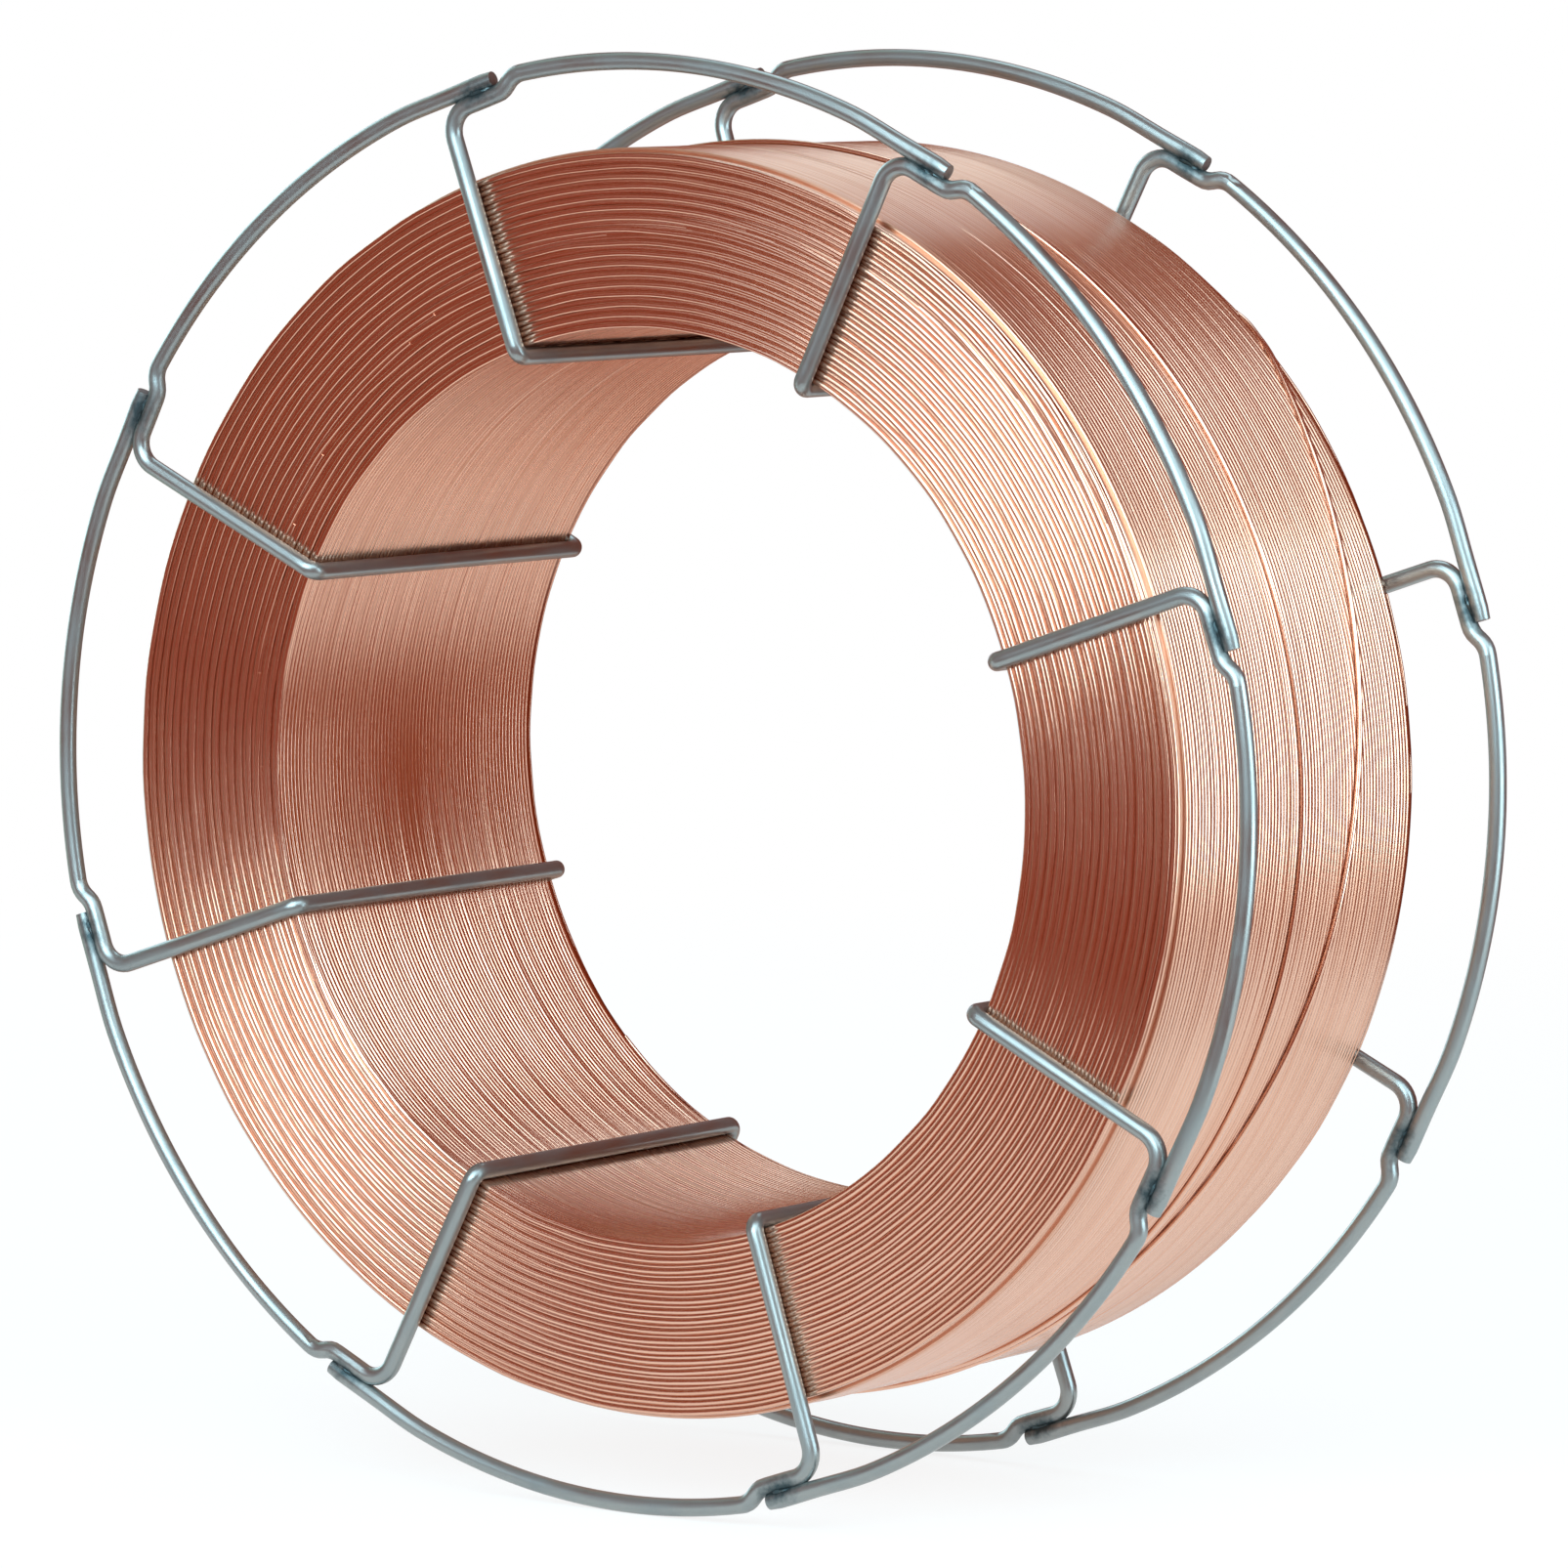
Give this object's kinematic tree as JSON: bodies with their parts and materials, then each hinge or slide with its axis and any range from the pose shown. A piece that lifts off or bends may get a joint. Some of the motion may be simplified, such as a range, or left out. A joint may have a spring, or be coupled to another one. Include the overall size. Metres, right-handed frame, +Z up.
{
  "type": "welding wire spool",
  "caption": "Wire basket spool of layer-wound copper-coated welding wire, with bent and welded basket wires, spokes and rims around an open bore.",
  "frame": {"origin": "centre of the spool, on its axis and halfway between its rims", "axes": "+Y along the spool's axis, +Z up as it stands on its rims, +X across"},
  "size_m": [0.2988, 0.1, 0.2988],
  "materials": {
    "welding_wire": "drawn steel wire with a thin bright copper coat",
    "basket_wire": "bright zinc-plated drawn steel wire"
  },
  "bodies": {
    "root": {"wire_winding": "welding_wire", "basket_wire_1": "basket_wire", "basket_wire_2": "basket_wire", "basket_wire_3": "basket_wire", "basket_wire_4": "basket_wire", "basket_wire_5": "basket_wire", "basket_wire_6": "basket_wire", "basket_wire_7": "basket_wire", "basket_wire_8": "basket_wire"}
  },
  "joints": []
}
